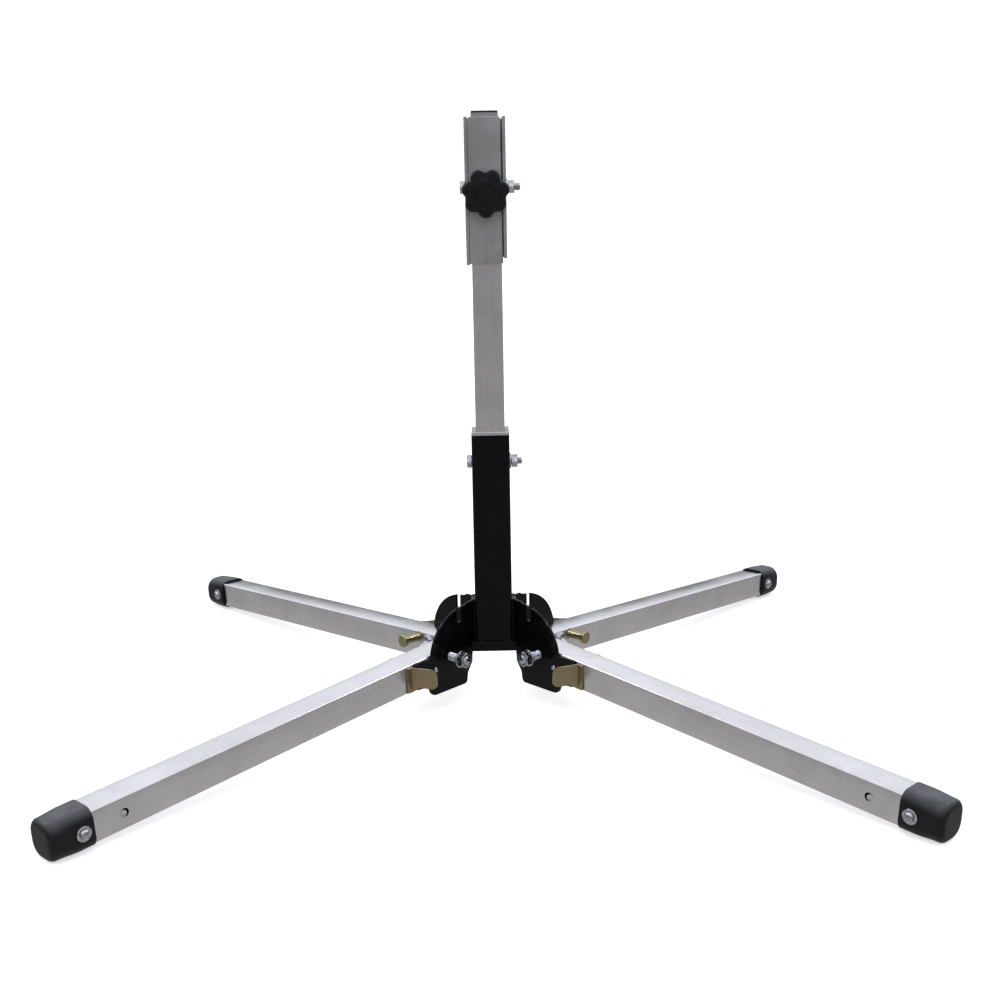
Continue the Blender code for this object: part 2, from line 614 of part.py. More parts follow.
def latch(prefix, kx, ky, fold_axis, pin_place):
    """Bent latch plate hinged at its bend, and the headed pin that it draws."""
    side = hand(kx, ky)
    frame = leg_frame(kx, ky) @ at(LATCH_BEND, side * CHEEK_INNER, LEG_AXIS_HEIGHT)
    along = Vector((-cos(LATCH_FLARE), sin(LATCH_FLARE)))
    across = Vector((sin(LATCH_FLARE), cos(LATCH_FLARE))) * LATCH_PLATE
    inside = LATCH_PLATE * (1 - cos(LATCH_FLARE)) / sin(LATCH_FLARE)
    plan = [Vector((LATCH_FOOT, 0.0)), Vector((0.0, 0.0)), along * TONGUE_LENGTH]
    plan += [along * TONGUE_LENGTH + across, across + along * inside, Vector((LATCH_FOOT, LATCH_PLATE))]
    plan = [(x, side * y) for x, y in plan]
    height = TONGUE_TOP - LATCH_FOOT_BOTTOM
    place = frame @ at(0.0, 0.0, LATCH_FOOT_BOTTOM)
    plate = extruded(prefix + "_latch_plate", [plan], height, place, YELLOW_ZINC)

    tip = 0.0065
    face = [(-0.0100, LATCH_FOOT_BOTTOM), (0.0010, LATCH_FOOT_BOTTOM), (0.0105, TONGUE_BOTTOM)]
    face += arc((TONGUE_LENGTH - tip, TONGUE_BOTTOM + tip), tip, -pi / 2, 0.0, 5)
    face += arc((TONGUE_LENGTH - tip, TONGUE_TOP - tip), tip, 0.0, pi / 2, 5)
    face += [(-0.0100, TONGUE_TOP)]
    blade_x = Vector((along.x, side * along.y, 0.0))
    blade_y = Vector((0.0, 0.0, 1.0))
    blade = Matrix((blade_x, blade_y, blade_x.cross(blade_y))).transposed().to_4x4()
    face_place = frame @ blade @ at(0.0, 0.0, -0.012)
    boolean(plate, extruded(prefix + "_latch_face", [face], 0.024, face_place), "INTERSECT")
    latch_axis = joint_axis(prefix + "_latch_axis", frame)
    carry(fold_axis, latch_axis)
    bpy.context.view_layer.update()
    carry(latch_axis, plate)

    x, z = pin_place
    pin_axis = leg_frame(kx, ky) @ at(x, 0.0, LEG_AXIS_HEIGHT + z) @ outer_axis(-side)
    nose, flange = -(TUBE / 2 - 0.0002), TUBE / 2 + GAP
    head_back, head_front = flange + 0.0245, flange + 0.0285
    profile = [(0.0, head_front), (0.0062, head_front), (0.0070, head_front - 0.0008), (0.0070, head_back)]
    profile += [(0.0040, head_back), (0.0040, flange + 0.0015), (0.0050, flange + 0.0015), (0.0050, flange)]
    profile += [(PIN_RADIUS, flange), (PIN_RADIUS, nose + 0.0010), (PIN_RADIUS - 0.0010, nose), (0.0, nose)]
    carry(fold_axis, turned(prefix + "_latch_pin", profile, pin_axis, YELLOW_ZINC))


centre_column()
cross_bolt("post", POST / 2, 0.0345, POST_BOLT_HEIGHT)
clamp_channel()
clamp_plate()
cross_bolt("clamp", CHANNEL_WIDTH / 2, 0.0365, CLAMP_BOLT_HEIGHT)
knob()
hinge_bracket("left_bracket", -1)
hinge_bracket("right_bracket", 1)
strap("front_strap", -1)
strap("rear_strap", 1)
for leg_name, (leg_x, leg_y) in LEGS.items():
    pin = FRONT_PIN if leg_y < 0 else REAR_PIN
    pivot_frame = leg_frame(leg_x, leg_y) @ Matrix.Translation(PIVOT)
    leg_axis = joint_axis(leg_name + "_fold_axis", pivot_frame)
    bpy.context.view_layer.update()
    pivot_set(leg_name, leg_x, leg_y)
    leg_tube(leg_name, leg_x, leg_y, leg_axis, pin)
    foot(leg_name, leg_x, leg_y, leg_axis)
    latch(leg_name, leg_x, leg_y, leg_axis, pin)

for shaped in parts.objects:
    if shaped.type == "MESH":
        shaped.data.shade_smooth()
        shaped.data.set_sharp_from_angle(angle=radians(35.0))
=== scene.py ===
"""Looks of the folding batting tee base: finished pieces, materials, studio and camera.

Everything is in metres in the frame's own axes: +Z up, the knob faces -Y, the nuts are on +X.
"""
import json
from math import atan2, cos, floor, pi, radians, sin, tan

import bmesh
import bpy
from mathutils import Matrix, Vector


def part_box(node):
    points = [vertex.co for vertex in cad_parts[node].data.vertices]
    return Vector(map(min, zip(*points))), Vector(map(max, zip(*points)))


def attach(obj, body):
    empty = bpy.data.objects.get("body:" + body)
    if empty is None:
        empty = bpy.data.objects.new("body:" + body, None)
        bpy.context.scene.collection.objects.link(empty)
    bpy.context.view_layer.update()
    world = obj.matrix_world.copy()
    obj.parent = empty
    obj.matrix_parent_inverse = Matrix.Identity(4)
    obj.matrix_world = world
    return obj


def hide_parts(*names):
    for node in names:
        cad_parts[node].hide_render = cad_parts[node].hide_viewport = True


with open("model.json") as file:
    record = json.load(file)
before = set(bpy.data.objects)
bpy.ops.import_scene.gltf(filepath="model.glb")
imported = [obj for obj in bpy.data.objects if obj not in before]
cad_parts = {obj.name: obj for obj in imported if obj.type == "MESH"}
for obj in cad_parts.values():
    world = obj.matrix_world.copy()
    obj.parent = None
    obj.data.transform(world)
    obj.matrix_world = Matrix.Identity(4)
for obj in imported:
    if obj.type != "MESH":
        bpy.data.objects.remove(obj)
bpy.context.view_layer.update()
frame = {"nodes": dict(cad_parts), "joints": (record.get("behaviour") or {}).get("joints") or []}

JOINTS = {joint["name"]: joint for joint in frame["joints"]}
LEGS = ("front_left", "front_right", "rear_left", "rear_right")

# Sizes repeated from the part, in metres
TUBE_HALF = 0.015875
GAP = 0.0003
LEG_SLOPE = radians(3.9)
PIVOT_ALONG = 0.0610
REFERENCE_ALONG = 0.0570
LEG_AXIS_HEIGHT = 0.0524
CHEEK_OUTER = TUBE_HALF + GAP + 0.003
PIVOT_SEAT = CHEEK_OUTER + 0.0157
CAP_START, CAP_END, CAP_HALF = 0.4485, 0.4905, 0.0192
LEG_END = 0.4700
SIDE_HOLE_ALONG = 0.4172
POST_HALF = 0.02075
CLAMP_HALF = 0.0215
M8 = {"bolt": 0.0040, "apothem": 0.0065, "washer": 0.0085, "thick": 0.0015, "pitch": 0.00125}
M10 = {"bolt": 0.0050, "apothem": 0.0078, "washer": 0.0095, "thick": 0.0016, "pitch": 0.0015,
       "head": 0.0064, "nut": 0.0072}
HEX_STEPS = 48


# Materials

class Graph:
    """A Principled material and short ways to add nodes to it."""

    def __init__(self, name, colour, roughness, metallic):
        self.material = bpy.data.materials.new(name)
        self.material.use_nodes = True
        self.nodes = self.material.node_tree.nodes
        self.links = self.material.node_tree.links
        self.shader = self.nodes["Principled BSDF"]
        self.shader.inputs["Base Color"].default_value = (*colour, 1.0)
        self.shader.inputs["Roughness"].default_value = roughness
        self.shader.inputs["Metallic"].default_value = metallic
        coordinates = self.nodes.new("ShaderNodeTexCoord").outputs
        self.place = coordinates["Object"]
        self.facing = coordinates["Normal"]

    def stretched(self, scale):
        """Object coordinates scaled by axis."""
        node = self.nodes.new("ShaderNodeMapping")
        node.inputs["Scale"].default_value = scale
        self.links.new(self.place, node.inputs["Vector"])
        return node.outputs["Vector"]

    def noise(self, scale, detail=3.0, place=None, distortion=0.0):
        """Noise between about 0.3 and 0.7."""
        node = self.nodes.new("ShaderNodeTexNoise")
        node.inputs["Scale"].default_value = scale
        node.inputs["Detail"].default_value = detail
        node.inputs["Distortion"].default_value = distortion
        self.links.new(place or self.place, node.inputs["Vector"])
        return node.outputs["Fac"]

    def spread(self, value, low, high, start=0.35, end=0.65):
        """Map a value's start..end to low..high."""
        node = self.nodes.new("ShaderNodeMapRange")
        for name, number in (("From Min", start), ("From Max", end), ("To Min", low), ("To Max", high)):
            node.inputs[name].default_value = number
        self.links.new(value, node.inputs["Value"])
        return node.outputs["Result"]

    def ramp(self, value, stops):
        """Colours at places between 0 and 1."""
        node = self.nodes.new("ShaderNodeValToRGB")
        elements = node.color_ramp.elements
        for index, (place, colour) in enumerate(stops):
            element = elements[index] if index < 2 else elements.new(place)
            element.position = place
            element.color = (*colour, 1.0)
        self.links.new(value, node.inputs["Fac"])
        return node.outputs["Color"]

    def mixed(self, factor, first, second, mode="MIX"):
        """Mix two colours by a value or a number."""
        node = self.nodes.new("ShaderNodeMix")
        node.data_type = "RGBA"
        node.blend_type = mode
        for socket, value in ((node.inputs[0], factor), (node.inputs[6], first), (node.inputs[7], second)):
            if isinstance(value, bpy.types.NodeSocket):
                self.links.new(value, socket)
            else:
                socket.default_value = value
        return node.outputs[2]

    def maths(self, operation, first, second):
        """Combine two values."""
        node = self.nodes.new("ShaderNodeMath")
        node.operation = operation
        for socket, value in zip(node.inputs, (first, second)):
            if isinstance(value, bpy.types.NodeSocket):
                self.links.new(value, socket)
            else:
                socket.default_value = value
        return node.outputs[0]

    def edges(self, low, high):
        """0 on flats and hollows, 1 on sharp outer edges."""
        node = self.nodes.new("ShaderNodeNewGeometry")
        return self.spread(node.outputs["Pointiness"], 0.0, 1.0, low, high)

    def bump(self, height, distance, strength):
        """Bump from a height value."""
        node = self.nodes.new("ShaderNodeBump")
        node.inputs["Distance"].default_value = distance
        node.inputs["Strength"].default_value = strength
        self.links.new(height, node.inputs["Height"])
        return node.outputs["Normal"]

    def wire(self, **values):
        """Link values to the shader's sockets, with _ for a space."""
        for name, value in values.items():
            self.links.new(value, self.shader.inputs[name.replace("_", " ")])


def zinc_tube():
    """Satin zinc plate on drawn square tube: cloudy tone, fine grain and faint lines along X."""
    graph = Graph("zinc_tube", (0.70, 0.70, 0.70), 0.32, 1.0)
    clouds = graph.noise(22.0, 4.0, distortion=0.5)
    grain = graph.noise(2600.0, 2.0)
    lines = graph.noise(900.0, 2.0, graph.stretched((0.018, 1.0, 1.0)))
    stains = graph.noise(70.0, 5.0, distortion=1.2)
    tint = graph.noise(7.0, 1.0)
    stops = [(0.0, (0.660, 0.652, 0.650)), (1.0, (0.755, 0.750, 0.755))]
    scuffed = graph.maths("ADD", clouds, graph.maths("MULTIPLY", lines, 0.5))
    tone = graph.ramp(graph.spread(scuffed, 0.0, 1.0, 0.56, 0.94), stops)
    hue = graph.ramp(tint, [(0.38, (0.990, 0.992, 0.990)), (0.62, (1.0, 0.980, 1.0))])
    toned = graph.mixed(1.0, tone, hue, "MULTIPLY")
    speck = graph.ramp(grain, [(0.30, (0.93, 0.93, 0.93)), (0.60, (1.0, 1.0, 1.0))])
    spots = graph.ramp(stains, [(0.62, (1.0, 1.0, 1.0)), (0.72, (0.92, 0.92, 0.91))])
    surface = graph.mixed(1.0, graph.mixed(1.0, toned, speck, "MULTIPLY"), spots, "MULTIPLY")
    drawn = graph.maths("ADD", clouds, graph.maths("MULTIPLY", lines, 0.6))
    rough = graph.spread(drawn, 0.19, 0.27, 0.6, 1.05)
    height = graph.maths("ADD", graph.maths("MULTIPLY", grain, 0.6), lines)
    graph.wire(Base_Color=surface, Roughness=rough, Normal=graph.bump(height, 0.00002, 0.5))
    return graph.material


def zinc_plate():
    """Dull zinc plate on pressed sheet: faint streaks along X and an olive cast in places."""
    graph = Graph("zinc_plate", (0.50, 0.50, 0.49), 0.34, 1.0)
    streaks = graph.noise(520.0, 3.0, graph.stretched((0.04, 1.0, 1.0)))
    clouds = graph.noise(26.0, 3.0, distortion=0.6)
    grain = graph.noise(2400.0, 2.0)
    stops = [(0.0, (0.455, 0.455, 0.450)), (1.0, (0.505, 0.505, 0.505))]
    tone = graph.ramp(graph.spread(streaks, 0.0, 1.0), stops)
    cast = graph.ramp(clouds, [(0.38, (0.90, 0.89, 0.82)), (0.58, (1.0, 1.0, 1.03))])
    graph.wire(Base_Color=graph.mixed(1.0, tone, cast, "MULTIPLY"))
    graph.wire(Roughness=graph.spread(clouds, 0.28, 0.38))
    graph.wire(Normal=graph.bump(graph.maths("ADD", streaks, grain), 0.00002, 0.5))
    return graph.material


def black_coat(name, specular, glossy, dull):
    """Semi-gloss black powder coat: fine orange peel, a little dust, and greyer edges that are partly wear
    and partly painted highlight.
    """
    graph = Graph(name, (0.0018, 0.0018, 0.0019), glossy, 0.0)
    graph.shader.inputs["Specular IOR Level"].default_value = specular
    peel = graph.noise(900.0, 2.0)
    dust = graph.noise(60.0, 5.0)
    # Greyer colour on sharp outer edges: partly real edge wear, partly painted edge highlight.
    edge_wear_and_highlight = graph.maths("MULTIPLY", graph.edges(0.62, 0.78), graph.spread(graph.noise(240.0, 4.0), 0.2, 0.9))
    clean, dusty = (0.0014, 0.0014, 0.0015, 1.0), (0.0021, 0.0021, 0.0022, 1.0)
    base = graph.mixed(graph.spread(dust, 0.0, 0.5), clean, dusty)
    graph.wire(Base_Color=graph.mixed(edge_wear_and_highlight, base, (0.060, 0.060, 0.064, 1.0)))
    graph.wire(Roughness=graph.spread(dust, glossy, dull), Normal=graph.bump(peel, 0.00002, 0.30))
    return graph.material


def bright_zinc():
    """Bright blue-white zinc plate on machined hardware."""
    graph = Graph("bright_zinc", (0.78, 0.80, 0.84), 0.20, 1.0)
    patches = graph.noise(420.0, 3.0)
    fine = graph.noise(3200.0, 2.0)
    stops = [(0.0, (0.30, 0.31, 0.35)), (1.0, (0.62, 0.63, 0.65))]
    tone = graph.ramp(graph.spread(patches, 0.0, 1.0), stops)
    graph.wire(Base_Color=tone, Roughness=graph.spread(patches, 0.12, 0.28))
    graph.wire(Normal=graph.bump(fine, 0.00001, 0.5))
    return graph.material


def yellow_zinc():
    """Yellow passivated zinc: brownish gold drifting slowly into olive and pink."""
    graph = Graph("yellow_zinc", (0.62, 0.50, 0.30), 0.30, 1.0)
    drift = graph.noise(30.0, 1.0, distortion=0.4)
    film = graph.noise(140.0, 3.0)
    fine = graph.noise(2400.0, 2.0)
    stops = [(0.0, (0.360, 0.310, 0.188)), (0.50, (0.368, 0.304, 0.186))]
    stops += [(0.80, (0.378, 0.302, 0.188)), (1.0, (0.382, 0.296, 0.192))]
    tone = graph.ramp(graph.spread(drift, 0.0, 1.0, 0.34, 0.66), stops)
    veil = graph.ramp(film, [(0.35, (0.93, 0.94, 0.92)), (0.65, (1.0, 1.0, 1.0))])
    graph.wire(Base_Color=graph.mixed(1.0, tone, veil, "MULTIPLY"))
    graph.wire(Roughness=graph.spread(film, 0.24, 0.34), Normal=graph.bump(fine, 0.00001, 0.25))
    return graph.material


def rubber():
    """Black rubber with a fine moulded skin, and a lighter bluish upper side that is partly settled dust and
    partly painted sheen.
    """
    graph = Graph("rubber", (0.006, 0.006, 0.007), 0.42, 0.0)
    graph.shader.inputs["Specular IOR Level"].default_value = 0.28
    skin = graph.noise(1300.0, 3.0)
    dust = graph.noise(48.0, 5.0)
    clean = graph.ramp(dust, [(0.35, (0.0016, 0.0016, 0.0018)), (0.70, (0.0040, 0.0040, 0.0046))])
    # Upward-facing surfaces get a lighter bluish colour: partly settled dust, partly painted sheen of the
    # bright sky.
    dust_and_sheen = graph.ramp(dust, [(0.35, (0.050, 0.050, 0.058)), (0.65, (0.105, 0.105, 0.118))])
    split = graph.nodes.new("ShaderNodeSeparateXYZ")
    graph.links.new(graph.facing, split.inputs["Vector"])
    upward = graph.spread(split.outputs["Z"], 0.0, 1.0, 0.25, 1.0)
    graph.wire(Base_Color=graph.mixed(graph.maths("POWER", upward, 2.0), clean, dust_and_sheen))
    graph.wire(Roughness=graph.spread(dust, 0.36, 0.50), Normal=graph.bump(skin, 0.00008, 0.5))
    return graph.material


def moulded_plastic(name, colour, roughness):
    """Black moulded plastic with spark texture."""
    graph = Graph(name, colour, roughness, 0.0)
    graph.shader.inputs["Specular IOR Level"].default_value = 0.16
    spark = graph.noise(1700.0, 3.0)
    wear = graph.noise(120.0, 4.0)
    lifted = tuple(value * 1.8 for value in colour)
    graph.wire(Base_Color=graph.ramp(wear, [(0.40, colour), (0.72, lifted)]))
    graph.wire(Roughness=graph.spread(wear, roughness - 0.05, roughness + 0.06))
    graph.wire(Normal=graph.bump(spark, 0.00005, 0.45))
    return graph.material


LOOKS = {
    "zinc_tube": zinc_tube(),
    "zinc_plate": zinc_plate(),
    "black_coat": black_coat("black_coat", 0.15, 0.16, 0.22),
    "bright_zinc": bright_zinc(),
    "yellow_zinc": yellow_zinc(),
    "rubber": rubber(),
    "knob_plastic": moulded_plastic("knob_plastic", (0.0036, 0.0036, 0.0038), 0.38),
    "plug_plastic": moulded_plastic("plug_plastic", (0.006, 0.006, 0.006), 0.50),
}
WELD_COAT = black_coat("weld_coat", 0.90, 0.10, 0.16)


# Making pieces

def linked(name, data):
    """A new object in the scene."""
    item = bpy.data.objects.new(name, data)
    bpy.context.scene.collection.objects.link(item)
    return item


def add_piece(name, mesh, place, look, body, nodes=()):
    """Put a mesh, given in its own frame, on a body, in place of CAD nodes."""
    piece = linked(name, mesh)
    piece.matrix_world = place
    mesh.materials.clear()
    mesh.materials.append(LOOKS[look])
    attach(piece, body)
    if nodes:
        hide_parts(*nodes)
    return piece


def shade(mesh, angle=35.0):
    """Smooth shading with creases."""
    mesh.shade_smooth()
    mesh.set_sharp_from_angle(angle=radians(angle))


def refined(node, place, look, body, edge):
    """A CAD node's shape with clean flat faces and rounded edges, in the given frame."""
    source = frame["nodes"][node].data
    shape = bmesh.new()
    shape.from_mesh(source)
    bmesh.ops.remove_doubles(shape, verts=shape.verts, dist=0.000002)
    bmesh.ops.dissolve_limit(shape, angle_limit=radians(0.6), verts=shape.verts, edges=shape.edges)
    bmesh.ops.transform(shape, matrix=place.inverted(), verts=shape.verts)
    mesh = bpy.data.meshes.new(node + "_finished")
    shape.to_mesh(mesh)
    shape.free()
    for attribute in [a for a in mesh.attributes if a.name == "custom_normal"]:
        mesh.attributes.remove(attribute)
    shade(mesh)
    piece = add_piece(node + "_finished", mesh, place, look, body, [node])
    rounding = piece.modifiers.new("Edges", "BEVEL")
    rounding.width = edge
    rounding.segments = 3
    rounding.limit_method = "ANGLE"
    rounding.angle_limit = radians(32.0)
    rounding.harden_normals = True
    return piece


def loft(name, rings, place, look, body, nodes=(), closed=False, angle=35.0):
    """Skin rings of equal length. The ends are filled, or joined to each other when closed."""
    shape = bmesh.new()
    rows = [[shape.verts.new(point) for point in ring] for ring in rings]
    pairs = list(zip(rows, rows[1:]))
    if closed:
        pairs.append((rows[-1], rows[0]))
    else:
        shape.faces.new(rows[0][::-1])
        shape.faces.new(rows[-1])
    for lower, upper in pairs:
        for index in range(len(lower)):
            after = (index + 1) % len(lower)
            shape.faces.new((lower[index], lower[after], upper[after], upper[index]))
    bmesh.ops.recalc_face_normals(shape, faces=shape.faces)
    mesh = bpy.data.meshes.new(name)
    shape.to_mesh(mesh)
    shape.free()
    shade(mesh, angle)
    return add_piece(name, mesh, place, look, body, nodes)


def circle(radius, height, steps=32):
    """A round ring of points about Z."""
    angles = [2 * pi * index / steps for index in range(steps)]
    return [Vector((radius * cos(a), radius * sin(a), height)) for a in angles]


def rounded_square(half, radius, height, steps=6):
    """A square ring with round corners about Z."""
    points = []
    for turn in range(4):
        for step in range(steps + 1):
            angle = pi / 2 * turn + pi / 2 * step / steps
            x = (half - radius) * (1 if turn in (0, 3) else -1) + radius * cos(angle)
            y = (half - radius) * (1 if turn < 2 else -1) + radius * sin(angle)
            points.append(Vector((x, y, height)))
    return points


def turned(name, profile, place, look, body, nodes=(), steps=32, closed=False):
    """A turned piece from (radius, height) pairs."""
    rings = [circle(radius, height, steps) for radius, height in profile]
    return loft(name, rings, place, look, body, nodes, closed)


def corner(centre, radius, start, end, steps=4):
    """Profile points round a corner, in degrees."""
    angles = [radians(start + (end - start) * i / steps) for i in range(steps + 1)]
    return [(centre[0] + radius * cos(a), centre[1] + radius * sin(a)) for a in angles]


def hexagon(apothem, angle):
    """Distance to a hexagon's side at an angle."""
    return apothem / cos((angle + pi / 6) % (pi / 3) - pi / 6)


def hex_rings(apothem, low, high):
    """Rings up a hexagonal prism whose corners are turned down at both ends."""
    angles = [2 * pi * i / HEX_STEPS for i in range(HEX_STEPS)]
    face = apothem * 0.96
    drop = {a: (hexagon(apothem, a) - face) * tan(radians(30)) for a in angles}
    rows = [[(face, low) for a in angles], [(hexagon(apothem, a), low + drop[a]) for a in angles]]
    rows += [[(hexagon(apothem, a), high - drop[a]) for a in angles], [(face, high) for a in angles]]
    return [[Vector((r * cos(a), r * sin(a), z)) for a, (r, z) in zip(angles, row)] for row in rows]


def hex_nut(name, size, low, high, place, body, node):
    """A nut with turned corners and a countersunk bore."""
    bore, sink = size["bolt"] - 0.0001, 0.0006
    outer = hex_rings(size["apothem"], low, high)
    inner = [circle(bore + sink, high, HEX_STEPS), circle(bore, high - sink, HEX_STEPS)]
    inner += [circle(bore, low + sink, HEX_STEPS), circle(bore + sink, low, HEX_STEPS)]
    return loft(name, outer + inner, place, "bright_zinc", body, [node], True, 25.0)


def thread(name, size, low, high, place, body):
    """A helical thread with a chamfered end at its top."""
    radius, pitch = size["bolt"], size["pitch"]
    depth, chamfer = 0.55 * pitch, 0.0009
    steps, rows_per_turn = 24, 6
    rows = []
    count = int((high - low) / pitch * rows_per_turn)
    for row in range(count + 1):
        z = low + (high - low) * row / count
        ring = []
        for index in range(steps):
            angle = 2 * pi * index / steps
            turn = z / pitch - index / steps
            crest = abs(2 * (turn - floor(turn)) - 1)
            reach = radius - depth * (1 - crest)
            reach = min(reach, radius - chamfer + (high - z))
            ring.append(Vector((reach * cos(angle), reach * sin(angle), z)))
        rows.append(ring)
    return loft(name, rows, place, "bright_zinc", body, (), False, 50.0)


def hex_head(name, size, low, high, place, body, node):
    """A bolt's head with turned corners and a slightly dished top."""
    rings = hex_rings(size["apothem"], low, high)
    rim, floor_radius = size["apothem"] * 0.80, size["apothem"] * 0.77
    dish = [circle(floor_radius, low + 0.00015, HEX_STEPS), circle(rim, low, HEX_STEPS)]
    return loft(name, dish + rings, place, "bright_zinc", body, [node], False, 25.0)


def flat_washer(name, radius, bore, low, high, place, body, node):
    """A stamped washer with one rolled edge."""
    soft = (high - low) * 0.4
    profile = [(bore, low), (bore, high)]
    profile += corner((radius - soft, high - soft), soft, 90, 0)
    profile += [(radius, low + soft * 0.4), (radius - soft * 0.4, low)]
    return turned(name, profile, place, "bright_zinc", body, [node], 48, True)


def weld(name, points, radius, glossy=False):
    """A rippled weld bead along a line of points, laid as overlapping coins."""
    coin, ripple_length, taper_length = 0.0004, 0.0019, 0.0040
    path = [Vector(point) for point in points]
    total = sum((b - a).length for a, b in zip(path, path[1:]))
    count = max(8, int(total / coin))
    rings = []
    for step in range(count + 1):
        wanted = total * step / count
        for start, end in zip(path, path[1:]):
            span = (end - start).length
            if wanted <= span + 1e-9:
                break
            wanted -= span
        direction = (end - start).normalized()
        centre = start + direction * min(wanted, span)
        across = direction.orthogonal().normalized()
        other = direction.cross(across)
        ripple = abs(sin(pi * (total * step / count) / ripple_length))
        taper = min(1.0, 0.35 + 2.2 * min(step, count - step) / count * total / taper_length)
        reach = radius * (0.80 + 0.20 * ripple) * taper
        rings.append([centre + (across * p.x + other * p.y) * reach for p in circle(1.0, 0.0, 10)])
    bead = loft(name, rings, Matrix.Identity(4), "black_coat", "base", (), False, 60.0)
    if glossy:
        bead.data.materials[0] = WELD_COAT


# Frames

UPRIGHT = Matrix.Identity(4)
ALONG_X = Matrix.Rotation(pi / 2, 4, "Y")
ALONG_FRONT = Matrix.Rotation(pi / 2, 4, "X")
MAST_LINES = Matrix.Rotation(-pi / 2, 4, "Y")


def centre_of(node):
    """The middle of a CAD node's box."""
    low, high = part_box(node)
    return (low + high) / 2


class Leg:
    """Where a leg's pieces go, read from its fold joint and its pivot nut."""

    def __init__(self, name):
        joint = JOINTS[name + "_fold"]
        axis = Vector(joint["axis"])
        pivot = Vector(joint["pos_m"])
        self.name = name
        self.direction = Vector((-axis.y, axis.x, 0.0)).normalized()
        side = (centre_of(name + "_pivot_nut") - pivot).dot(axis)
        self.outward = axis.normalized() * (1 if side > 0 else -1)
        self.hand = 1 if Vector((-self.direction.y, self.direction.x, 0.0)).dot(self.outward) > 0 else -1
        heading = atan2(self.direction.y, self.direction.x)
        ground = Vector((pivot.x, pivot.y, 0.0)) - self.direction * PIVOT_ALONG
        self.frame = Matrix.Translation(ground) @ Matrix.Rotation(heading, 4, "Z")
        start = Matrix.Translation((REFERENCE_ALONG, 0.0, LEG_AXIS_HEIGHT))
        self.tube = self.frame @ start @ Matrix.Rotation(LEG_SLOPE, 4, "Y")
        self.pivot_along = (PIVOT_ALONG, pivot.z)

    def across(self, along, height, hand=None):
        """A frame whose +Z points out of the leg's outer side, or its inner side with -hand."""
        spin = Matrix.Rotation(-(hand or self.hand) * pi / 2, 4, "X")
        return self.frame @ Matrix.Translation((along, 0.0, height)) @ spin


# Centre column

def cross_bolt(prefix, half_width):
    """A hex bolt across the mast with its washer and nut on +X."""
    low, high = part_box(prefix + "_bolt")
    middle = centre_of(prefix + "_bolt")
    place = Matrix.Translation((0.0, middle.y, middle.z)) @ ALONG_X
    hex_head(prefix + "_bolt_head", M8, low.x, -half_width - GAP, place, "base", prefix + "_bolt")
    shank = [(M8["bolt"], -half_width - GAP), (M8["bolt"], half_width)]
    turned(prefix + "_bolt_shank", shank, place, "bright_zinc", "base")
    thread(prefix + "_bolt_thread", M8, half_width, high.x, place, "base")
    nut_low, nut_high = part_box(prefix + "_nut")
    low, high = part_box(prefix + "_washer")
    name = prefix + "_washer"
    flat_washer(name + "_finished", M8["washer"], M8["bolt"] + GAP, low.x, high.x, place, "base", name)
    hex_nut(prefix + "_nut_finished", M8, nut_low.x, nut_high.x, place, "base", prefix + "_nut")


def centre_column():
    """Post, straps, mast, stem, clamp and cross bolts."""
    refined("centre_post", MAST_LINES, "black_coat", "base", 0.0007)
    for strap in ("front_strap", "rear_strap"):
        refined(strap, UPRIGHT, "black_coat", "base", 0.0008)
    refined("mast_tube", MAST_LINES, "zinc_tube", "base", 0.0004)
    refined("stem_tube", MAST_LINES, "zinc_tube", "stem", 0.0004)
    refined("clamp_channel", MAST_LINES, "zinc_plate", "base", 0.0006)
    refined("clamp_plate", MAST_LINES, "zinc_plate", "base", 0.0004)
    cross_bolt("post", POST_HALF)
    cross_bolt("clamp", CLAMP_HALF)


def brackets():
    """Hinge brackets with their welds to the post."""
    post_half, web_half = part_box("centre_post")[1].x, 0.0106
    for side, name in ((-1, "left_bracket"), (1, "right_bracket")):
        refined(name, UPRIGHT, "black_coat", "base", 0.0007)
        bottom, top = LEG_AXIS_HEIGHT + 0.020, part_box(name)[1].z - 0.0005
        for edge, label in ((-1, "front"), (1, "rear")):
            x, y = side * (post_half + 0.0007), edge * web_half
            upright = [(x, y, bottom), (x, y, top), (x + side * 0.0030, y - edge * 0.0012, top + 0.0004)]
            weld(name + "_" + label + "_weld", upright, 0.0019)
            across = [(x, y - edge * 0.0015, top), (x, 0.002 * edge, top)]
            weld(name + "_" + label + "_top_weld", across, 0.0015, True)


def strap_welds():
    """Short beads where the straps meet the post and the brackets."""
    half_length = 0.0045
    for name, side in (("front_strap", -1), ("rear_strap", 1)):
        low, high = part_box(name)
        face = low.y if side < 0 else high.y
        inner = face - side * 0.0028
        for x in (-0.0140, 0.0140):
            run = [(x - half_length, inner, high.z), (x + half_length, inner, high.z)]
            label = name + ("_left" if x < 0 else "_right") + "_weld"
            weld(label, run, 0.0012)


def post_liner():
    """Liner in the post's mouth, with a collar that covers the post's rim."""
    low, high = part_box("post_liner")
    inner, outer = TUBE_HALF + GAP, high.x
    inner_corner, outer_corner, collar_corner = 0.0023, 0.0012, 0.0028
    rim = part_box("centre_post")[1]
    collar, collar_foot, soft = rim.x - 0.0003, rim.z + 0.0001, 0.0004
    rings = [rounded_square(inner, inner_corner, low.z), rounded_square(inner, inner_corner, high.z)]
    rings += [rounded_square(collar - soft, 0.0026, high.z)]
    rings += [rounded_square(collar, collar_corner, high.z - soft)]
    rings += [rounded_square(collar, collar_corner, collar_foot)]
    rings += [rounded_square(outer, outer_corner, collar_foot)]
    rings += [rounded_square(outer, outer_corner, low.z)]
    loft("post_liner_finished", rings, UPRIGHT, "zinc_tube", "base", ["post_liner"], True)


